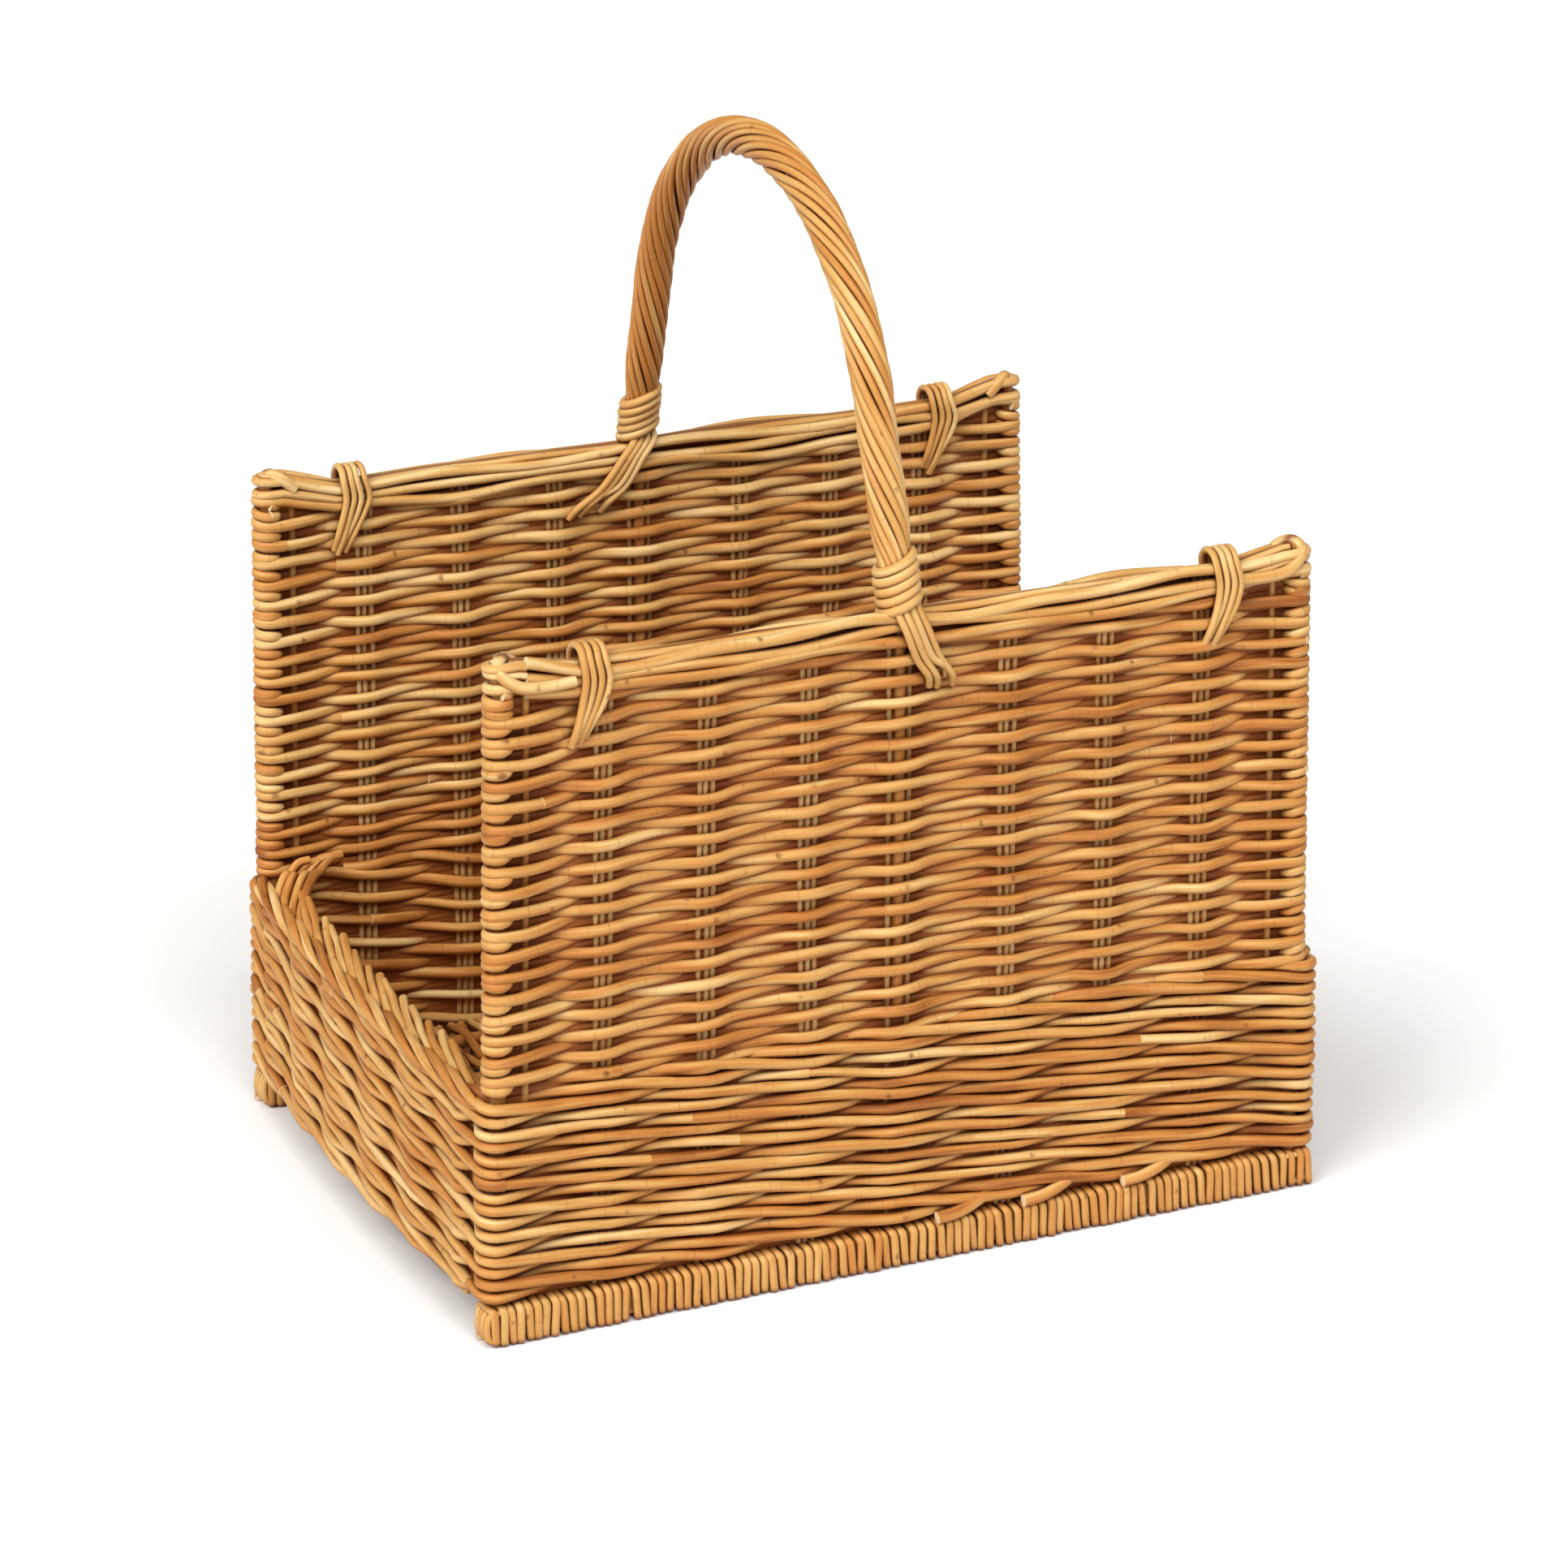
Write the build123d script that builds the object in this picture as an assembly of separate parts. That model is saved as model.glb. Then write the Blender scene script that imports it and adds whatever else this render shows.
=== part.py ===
from build123d import *
import math
import os

# A wicker log basket: a low woven tray, two tall woven side panels and a roped carrying
# handle that arches over the open ends. Millimetres, +Z up. X runs along the side panels,
# Y across the basket, and the origin is the middle of the base at floor level.
# Every weave is kept as one closed block of its true outer size with real channels
# for the rods that it is woven round.

# Rods
STAKE_R = 2.0
POST_R = 5.0
POST_WRAP_R = 8.5
TENON_R = 4.0
RIM_ROD_R = 2.85
FINE_ROD_R = 2.25
BASE_STICK_R = 4.5
SLOT_PLAY = 0.1

# Plan
POST_X = 248.0
PANEL_Y = 181.0
PANEL_HALF = 8.0
TRAY_HALF = 9.0
TRAY_HALF_LENGTH = 260.5
TRAY_CORNER_R = 12.0
END_WALL_X = 252.0
END_WALL_HALF = 8.5
END_WALL_BOW = 6.0
INSIDE_Y = PANEL_Y - TRAY_HALF

# Heights
FOOT_TOP = 25.0
BASE_LOW, BASE_HIGH = 29.0, 41.0
TRAY_TOP = 150.0
PANEL_TOP = 382.0
RIM_TOP = 400.0
END_WALL_LOW, END_WALL_TOP = 20.0, 138.0

# Feet
FOOT_HALF_LENGTH = 258.0
FOOT_WIDTH = 18.0
FOOT_WRAP = 4.0
FOOT_EDGE_R = 4.0
TENON_LOW = 10.0

# Uprights: groups of rods side by side
STAKE_PITCH = 2 * STAKE_R + 0.2
PANEL_GROUP_PITCH = 62.0
PANEL_GROUPS = 7
MIDDLE_GROUP = PANEL_GROUPS // 2
END_GROUP_PITCH = 60.0
END_GROUPS = 6
RODS_PER_GROUP = 3
STAKE_TOP = RIM_TOP - 2

# Base sticks, along X
BASE_STICKS = 6
BASE_STICK_PITCH = 58.0
BASE_STICK_HALF_LENGTH = 243.0

# Top rims
RIM_HALF_LENGTH = 256.0
RIM_ROWS = 3
RIM_ROD_Y = PANEL_HALF - RIM_ROD_R

# Handle: an upright leg in each panel, a straight side and one round top
HANDLE_X = -6.0
BOW_R = 4.0
ROPE_R = 11.75
NECK_R = 9.5
BINDING_R = 12.4
BINDING_TOP = 424.0
LEG_LOW = 160.0
LEG_BEND_R = 40.0
ARCH_R = 158.0
SIDES_MEET_Y, SIDES_MEET_Z = 8.0, 1008.0

# Lashings over the rims, and the rod ends of the handle
LASHING_X = (-195.0, 198.0)
LASHING_LOW = 350.0
STRANDS = 3
STRAND_PITCH = 2 * FINE_ROD_R + 0.1
TAIL_RODS = 4
TAIL_SLANT = {"front": 20.0, "back": -18.0}

SIDES = {"front": -1, "back": 1}
ENDS = {"left": -1, "right": 1}


def block(x_range, y_range, z_range):
    """A box between two values on each axis."""
    size = [high - low for low, high in (x_range, y_range, z_range)]
    middle = [(low + high) / 2 for low, high in (x_range, y_range, z_range)]
    return Pos(*middle) * Box(*size)


def upright(radius, x, y, low, high):
    """A vertical round rod."""
    return Pos(x, y, (low + high) / 2) * Cylinder(radius, high - low)


def along_x(radius, half_length, y, z):
    """A round rod along X, centred on the YZ plane."""
    return Pos(0, y, z) * Rot(0, 90, 0) * Cylinder(radius, 2 * half_length)


def joined(solids):
    """Separate solids as one group."""
    return Compound(children=list(solids))


def spread(count, pitch):
    """Evenly spaced places about zero."""
    return [(i - (count - 1) / 2) * pitch for i in range(count)]


# Uprights


def panel_group_x(index):
    """The X of a panel's stake group. The middle one holds the handle's leg."""
    if index == MIDDLE_GROUP:
        return HANDLE_X
    return spread(PANEL_GROUPS, PANEL_GROUP_PITCH)[index]


def group_offsets(index):
    """Where the rods of a panel's stake group stand, about the group's middle."""
    if index == MIDDLE_GROUP:
        beside_leg = BOW_R + STAKE_R + SLOT_PLAY
        return [-beside_leg, 0.0, beside_leg]
    return spread(RODS_PER_GROUP, STAKE_PITCH)


def panel_stakes(side, index):
    """One stake group of a side panel, from the foot up into the rim."""
    rods = []
    for offset in group_offsets(index):
        under_leg = index == MIDDLE_GROUP and offset == 0
        top = LEG_LOW if under_leg else STAKE_TOP
        x = panel_group_x(index) + offset
        rods.append(upright(STAKE_R, x, side * PANEL_Y, FOOT_TOP, top))
    return joined(rods)


def panel_slots(side, low, high):
    """The channels that a side panel's stake groups and handle leg run in."""
    y = side * PANEL_Y
    half_depth = STAKE_R + SLOT_PLAY
    slots = []
    for index in range(PANEL_GROUPS):
        x = panel_group_x(index)
        half_width = group_offsets(index)[-1] + STAKE_R + SLOT_PLAY
        slots.append(
            block((x - half_width, x + half_width), (y - half_depth, y + half_depth), (low, high))
        )
    return slots


def end_wall_arc_r():
    """The radius of an end wall's centre line in plan."""
    return (INSIDE_Y**2 + END_WALL_BOW**2) / (2 * END_WALL_BOW)


def end_wall_centre_x():
    """The X of the centre of the right end wall's arc."""
    return END_WALL_X + END_WALL_BOW - end_wall_arc_r()


def end_stake_places():
    """The right end wall's stakes, as points on its centre line."""
    places = []
    for group_y in spread(END_GROUPS, END_GROUP_PITCH):
        x = end_wall_centre_x() + math.sqrt(end_wall_arc_r() ** 2 - group_y**2)
        places.append((x, group_y))
    return places


def end_stakes(end):
    """All the stakes of one end wall."""
    rods = []
    for x, group_y in end_stake_places():
        for offset in spread(RODS_PER_GROUP, STAKE_PITCH):
            rods.append(upright(STAKE_R, end * x, group_y + offset, END_WALL_LOW, END_WALL_TOP))
    return joined(rods)


# Feet and base


def foot_core(side):
    """The stiff batten inside a foot, with a socket for each post's tenon."""
    y = side * PANEL_Y
    half = FOOT_WIDTH / 2 - FOOT_WRAP
    core = block(
        (-FOOT_HALF_LENGTH, FOOT_HALF_LENGTH),
        (y - half, y + half),
        (FOOT_WRAP, FOOT_TOP - FOOT_WRAP),
    )
    for end in ENDS.values():
        core -= upright(TENON_R, end * POST_X, y, TENON_LOW, FOOT_TOP)
    return core


def foot_wrap(side):
    """The close wrapping of a foot: a rounded tube with a flat underside."""
    y = side * PANEL_Y
    half = FOOT_WIDTH / 2
    sleeve = block(
        (-FOOT_HALF_LENGTH, FOOT_HALF_LENGTH), (y - half, y + half), (0, FOOT_TOP)
    )
    sleeve = fillet(sleeve.edges().filter_by(Axis.X), FOOT_EDGE_R)
    hollow = half - FOOT_WRAP
    sleeve -= block(
        (-FOOT_HALF_LENGTH, FOOT_HALF_LENGTH),
        (y - hollow, y + hollow),
        (FOOT_WRAP, FOOT_TOP - FOOT_WRAP),
    )
    for end in ENDS.values():
        sleeve -= upright(TENON_R, end * POST_X, y, TENON_LOW, FOOT_TOP)
    return sleeve


def base_sticks():
    """The stiff sticks of the base, side by side across the basket."""
    z = (BASE_LOW + BASE_HIGH) / 2
    sticks = []
    for y in spread(BASE_STICKS, BASE_STICK_PITCH):
        sticks.append(along_x(BASE_STICK_R, BASE_STICK_HALF_LENGTH, y, z))
    return sticks


def base_weave():
    """The woven floor, which fills the plan between the four tray walls."""
    inner_r = end_wall_arc_r() - END_WALL_HALF
    plan = Rectangle(2 * TRAY_HALF_LENGTH, 2 * INSIDE_Y)
    plan &= Pos(end_wall_centre_x(), 0) * Circle(inner_r)
    plan &= Pos(-end_wall_centre_x(), 0) * Circle(inner_r)
    floor = Pos(0, 0, BASE_LOW) * extrude(plan, BASE_HIGH - BASE_LOW)
    for stick in base_sticks():
        floor -= stick
    return floor


# Posts, tray and panels


def post(side, end):
    """A corner post, with a tenon that stands in the foot."""
    x, y = end * POST_X, side * PANEL_Y
    shaft = upright(POST_R, x, y, FOOT_TOP, RIM_TOP)
    return shaft + upright(TENON_R, x, y, TENON_LOW, FOOT_TOP)


def post_wrap(side, end):
    """The turns of weaving rod that cover a post above the tray."""
    x, y = end * POST_X, side * PANEL_Y
    sleeve = upright(POST_WRAP_R, x, y, TRAY_TOP, PANEL_TOP)
    return sleeve - upright(POST_R, x, y, TRAY_TOP, PANEL_TOP)


def tray_side_wall(side):
    """The waled band of the tray under a side panel, which closes round both posts."""
    y = side * PANEL_Y
    wall = block(
        (-TRAY_HALF_LENGTH, TRAY_HALF_LENGTH),
        (y - TRAY_HALF, y + TRAY_HALF),
        (FOOT_TOP, TRAY_TOP),
    )
    outer_edges = wall.edges().filter_by(Axis.Z).sort_by(Axis.Y)
    outer_edges = outer_edges[:2] if side < 0 else outer_edges[-2:]
    wall = fillet(outer_edges, TRAY_CORNER_R)
    for end in ENDS.values():
        wall -= upright(POST_R, end * POST_X, y, FOOT_TOP, TRAY_TOP)
    for slot in panel_slots(side, FOOT_TOP, TRAY_TOP):
        wall -= slot
    return wall


def end_arc_block(half, low, high):
    """A wall that follows the right end's bowed centre line."""
    ring = Circle(end_wall_arc_r() + half) - Circle(end_wall_arc_r() - half)
    plan = Pos(end_wall_centre_x(), 0) * ring
    plan &= Pos(END_WALL_X, 0) * Rectangle(8 * END_WALL_HALF, 2 * INSIDE_Y)
    return Pos(0, 0, low) * extrude(plan, high - low)


def facing(end, right_end_solid):
    """The right end's solid, or the same one turned round for the left end."""
    return right_end_solid if end > 0 else Rot(0, 0, 180) * right_end_solid


def tray_end_wall(end):
    """The bowed waled wall of one end of the tray."""
    wall = end_arc_block(END_WALL_HALF, END_WALL_LOW, END_WALL_TOP)
    half_depth = STAKE_R + SLOT_PLAY
    half_width = STAKE_PITCH + half_depth
    for x, y in end_stake_places():
        wall -= block(
            (x - half_depth, x + half_depth),
            (y - half_width, y + half_width),
            (END_WALL_LOW, END_WALL_TOP),
        )
    return facing(end, wall)


def end_border(end):
    """The border of bent-over stakes along an end wall's top."""
    border = end_arc_block(END_WALL_HALF, END_WALL_TOP, TRAY_TOP)
    top_edges = border.faces().sort_by(Axis.Z)[-1].edges().filter_by(GeomType.CIRCLE)
    return facing(end, fillet(top_edges, END_WALL_HALF / 2))


def panel_weave(side):
    """The plain weave of a side panel, from the tray up to the rim."""
    y = side * PANEL_Y
    weave = block(
        (-POST_X, POST_X), (y - PANEL_HALF, y + PANEL_HALF), (TRAY_TOP, PANEL_TOP)
    )
    for end in ENDS.values():
        weave -= upright(POST_WRAP_R, end * POST_X, y, TRAY_TOP, PANEL_TOP)
    for slot in panel_slots(side, TRAY_TOP, PANEL_TOP):
        weave -= slot
    return weave - upright(BOW_R + SLOT_PLAY, HANDLE_X, y, LEG_LOW, PANEL_TOP)


def top_rim(side, bow):
    """The rods on both faces of a panel's top edge, notched by the posts and the leg."""
    rods = []
    row_pitch = (RIM_TOP - PANEL_TOP) / RIM_ROWS
    for row in range(RIM_ROWS):
        z = RIM_TOP - RIM_ROD_R - row * row_pitch
        for face in (-RIM_ROD_Y, RIM_ROD_Y):
            y = side * PANEL_Y + face
            rod = along_x(RIM_ROD_R, RIM_HALF_LENGTH, y, z)
            for end in ENDS.values():
                rod -= upright(POST_R, end * POST_X, side * PANEL_Y, FOOT_TOP, RIM_TOP)
            rods.append(rod - bow)
    return joined(rods)


# Lashings


def lashing(side, x):
    """Strands that loop over the rim and hold it down to the weave."""
    y = side * PANEL_Y
    reach = PANEL_HALF + FINE_ROD_R
    crown = RIM_TOP - RIM_ROD_R + reach
    route = FilletPolyline(
        (0, y - reach, LASHING_LOW),
        (0, y - reach, crown),
        (0, y + reach, crown),
        (0, y + reach, LASHING_LOW),
        radius=reach - 0.05,
    )
    strand = sweep(Plane(route @ 0, z_dir=route % 0) * Circle(FINE_ROD_R), path=route)
    return joined([Pos(x + offset, 0, 0) * strand for offset in spread(STRANDS, STRAND_PITCH)])


# Handle


def handle_solid(radius):
    """A round bar along the whole handle line, from leg tip to leg tip."""
    line = FilletPolyline(
        (HANDLE_X, -PANEL_Y, LEG_LOW),
        (HANDLE_X, -PANEL_Y, RIM_TOP),
        (HANDLE_X, SIDES_MEET_Y, SIDES_MEET_Z),
        (HANDLE_X, PANEL_Y, RIM_TOP),
        (HANDLE_X, PANEL_Y, LEG_LOW),
        radius=[LEG_BEND_R, ARCH_R, LEG_BEND_R],
    )
    return sweep(Plane(line @ 0, z_dir=line % 0) * Circle(radius), path=line)


def slab_over_basket(low, high):
    """Everything between two heights."""
    reach = 2 * PANEL_Y
    return block((-reach, reach), (-reach, reach), (low, high))


def handle_rope(bow):
    """The twisted rods round the bow, narrower where they are bound to the rims."""
    body = handle_solid(ROPE_R) & slab_over_basket(BINDING_TOP, SIDES_MEET_Z)
    neck = handle_solid(NECK_R) & slab_over_basket(RIM_TOP, BINDING_TOP)
    return body + neck - bow


def handle_binding(side):
    """The turns of fine rod that bind a handle end just above its rim."""
    sleeve = handle_solid(BINDING_R) - handle_solid(NECK_R)
    reach = 2 * PANEL_Y
    y_range = (-reach, 0) if side < 0 else (0, reach)
    return sleeve & block((-reach, reach), y_range, (RIM_TOP, BINDING_TOP))


def handle_tails(name, side):
    """The rope's rod ends: outside the front rim, inside the back one."""
    y = side * PANEL_Y - PANEL_HALF - FINE_ROD_R
    slant = TAIL_SLANT[name]
    drop = RIM_TOP - LASHING_LOW
    length = math.hypot(slant, drop)
    lean = math.degrees(math.atan2(slant, drop))
    pitch = STRAND_PITCH * length / drop
    rods = []
    for offset in spread(TAIL_RODS, pitch):
        middle = Pos(HANDLE_X + offset + slant / 2, y, (RIM_TOP + LASHING_LOW) / 2)
        rod = middle * Rot(0, -lean, 0) * Cylinder(FINE_ROD_R, length)
        rods.append(rod & slab_over_basket(FOOT_TOP, RIM_TOP))
    return joined(rods)


def basket():
    """Every node of the basket, by name."""
    bow = handle_solid(BOW_R)
    nodes = {
        "base_sticks": joined(base_sticks()),
        "base_weave": base_weave(),
        "handle_bow": bow,
        "handle_rope": handle_rope(bow),
    }
    for name, side in SIDES.items():
        nodes[f"foot_core_{name}"] = foot_core(side)
        nodes[f"foot_wrap_{name}"] = foot_wrap(side)
        nodes[f"tray_wall_{name}"] = tray_side_wall(side)
        nodes[f"panel_weave_{name}"] = panel_weave(side)
        nodes[f"top_rim_{name}"] = top_rim(side, bow)
        nodes[f"handle_binding_{name}"] = handle_binding(side)
        nodes[f"handle_tails_{name}"] = handle_tails(name, side)
        for index in range(PANEL_GROUPS):
            nodes[f"panel_stakes_{name}_{index + 1}"] = panel_stakes(side, index)
        for end_name, end in ENDS.items():
            nodes[f"corner_post_{name}_{end_name}"] = post(side, end)
            nodes[f"post_wrap_{name}_{end_name}"] = post_wrap(side, end)
        for end_name, x in zip(ENDS, LASHING_X):
            nodes[f"lashing_{name}_{end_name}"] = lashing(side, x)
    for name, end in ENDS.items():
        nodes[f"tray_wall_{name}"] = tray_end_wall(end)
        nodes[f"end_stakes_{name}"] = end_stakes(end)
        nodes[f"end_border_{name}"] = end_border(end)
    return nodes


os.makedirs("parts", exist_ok=True)
for node_name, solid in basket().items():
    export_step(solid, f"parts/{node_name}.step")
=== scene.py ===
import math

import bpy
import numpy as np
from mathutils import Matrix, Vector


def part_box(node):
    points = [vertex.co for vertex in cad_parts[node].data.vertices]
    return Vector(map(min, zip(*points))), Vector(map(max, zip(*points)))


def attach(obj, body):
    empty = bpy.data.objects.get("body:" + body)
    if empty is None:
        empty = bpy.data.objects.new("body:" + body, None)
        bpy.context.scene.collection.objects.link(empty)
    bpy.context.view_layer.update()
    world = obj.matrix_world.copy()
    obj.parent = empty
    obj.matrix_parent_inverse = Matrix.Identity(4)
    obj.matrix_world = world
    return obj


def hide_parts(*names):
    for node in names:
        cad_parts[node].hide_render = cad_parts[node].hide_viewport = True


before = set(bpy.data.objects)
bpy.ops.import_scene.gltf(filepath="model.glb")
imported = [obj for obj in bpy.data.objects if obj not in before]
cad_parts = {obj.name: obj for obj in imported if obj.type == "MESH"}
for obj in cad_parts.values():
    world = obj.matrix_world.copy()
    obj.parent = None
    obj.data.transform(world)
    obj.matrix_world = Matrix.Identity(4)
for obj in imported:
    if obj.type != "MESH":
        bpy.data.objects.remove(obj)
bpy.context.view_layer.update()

# A wicker log basket, rod by rod. Lengths are in millimetres until a mesh is made.
MM = 0.001
UP = (0.0, 0.0, 1.0)
SIDEWAYS = (1.0, 0.0, 0.0)
ACROSS = (0.0, 1.0, 0.0)
SIDES = {"front": -1, "back": 1}
ENDS = {"left": -1, "right": 1}

# The posts lean in a little: lengths along X shrink by this share from the floor to twice this height
LEAN = 0.034
LEAN_MIDDLE = 200

# Rods
RING_STEP = 4.2
TIGHT_BENDS = 12.0
ROD_SIDES = 9
ROD_R = 3.1
WALE_R = 3.35
STAKE_R = 2.0


def mm_box(node):
    """A CAD node's lowest and highest corner, in millimetres."""
    low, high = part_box(node)
    return np.array(low) / MM, np.array(high) / MM


def middle(node):
    """The middle of a CAD node's box, in millimetres."""
    low, high = mm_box(node)
    return (low + high) / 2


# Paths


def unit(vectors):
    """Vectors at length one."""
    lengths = np.linalg.norm(vectors, axis=-1, keepdims=True)
    return vectors / np.maximum(lengths, 1e-9)


def run_length(path):
    """How far along the path each point is."""
    steps = np.linalg.norm(np.diff(path, axis=0), axis=1)
    return np.concatenate([[0.0], np.cumsum(steps)])


def even(path, step=RING_STEP):
    """The same path with points an even step apart, closer in tight bends."""
    steps = np.diff(path, axis=0)
    lengths = np.linalg.norm(steps, axis=1)
    kept = np.concatenate([[True], lengths > 1e-6])
    path = path[kept]
    steps = np.diff(path, axis=0)
    lengths = np.linalg.norm(steps, axis=1)
    heading = unit(steps)
    turn = np.linalg.norm(np.diff(heading, axis=0), axis=1)
    turn = np.concatenate([turn[:1], turn]) if len(turn) else np.zeros(len(lengths))
    weight = lengths + TIGHT_BENDS * turn
    place = np.concatenate([[0.0], np.cumsum(weight)])
    count = max(int(round(place[-1] / step)), 2)
    wanted = np.linspace(0, place[-1], count + 1)
    return np.stack([np.interp(wanted, place, path[:, i]) for i in range(3)], axis=1)


def smooth(points, step=RING_STEP, fine=10):
    """A smooth curve through points, with evenly spaced points of its own."""
    p = np.asarray(points, float)
    p = np.vstack([2 * p[0] - p[1], p, 2 * p[-1] - p[-2]])
    gaps = np.maximum(np.linalg.norm(np.diff(p, axis=0), axis=1), 1e-6) ** 0.5
    knots = np.concatenate([[0.0], np.cumsum(gaps)])
    a, b, c, d = (p[i : len(p) - 3 + i, None] for i in range(4))
    ta, tb, tc, td = (knots[i : len(p) - 3 + i, None, None] for i in range(4))
    t = tb + (tc - tb) * np.linspace(0, 1, fine, endpoint=False)[None, :, None]

    def mix(first, second, start, end):
        return ((end - t) * first + (t - start) * second) / (end - start)

    ab, bc, cd = mix(a, b, ta, tb), mix(b, c, tb, tc), mix(c, d, tc, td)
    curve = mix(mix(ab, bc, ta, tc), mix(bc, cd, tb, td), tb, tc)
    return even(np.vstack([curve.reshape(-1, 3), p[-2]]), step)


def wobble(s, draws, wavelength):
    """A smooth random wave along a rod, mostly between -1 and 1."""
    total = np.zeros_like(s)
    for _ in range(3):
        length = wavelength * draws.uniform(0.6, 1.7)
        total += np.sin(2 * math.pi * s / length + draws.uniform(0, 2 * math.pi))
    return total / 2


def shaken(path, draws, amount, wavelength=75.0):
    """A path with small random waves on each axis."""
    s = run_length(path)
    waves = [size * wobble(s, draws, wavelength) for size in amount]
    return path + np.stack(waves, axis=1)


def cut_lengths(path, draws, shortest, longest):
    """A long path cut into rods, as (first, last) point numbers."""
    s = run_length(path)
    cuts, place = [0], 0.0
    while True:
        place += draws.uniform(shortest, longest)
        if place > s[-1] - shortest / 2:
            break
        cuts.append(int(np.searchsorted(s, place)))
    cuts.append(len(path) - 1)
    return list(zip(cuts[:-1], cuts[1:]))


# Rods as meshes


def flare_share(points):
    """How much of the tray's swelling each point takes: none at the floor or above it, less on the left."""
    grows = np.clip(points[:, 2] / 40, 0, 1)
    fades = np.clip((230 - points[:, 2]) / 60, 0, 1)
    return grows * fades * np.where(points[:, 0] > 0, 1.0, 0.35)


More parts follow.
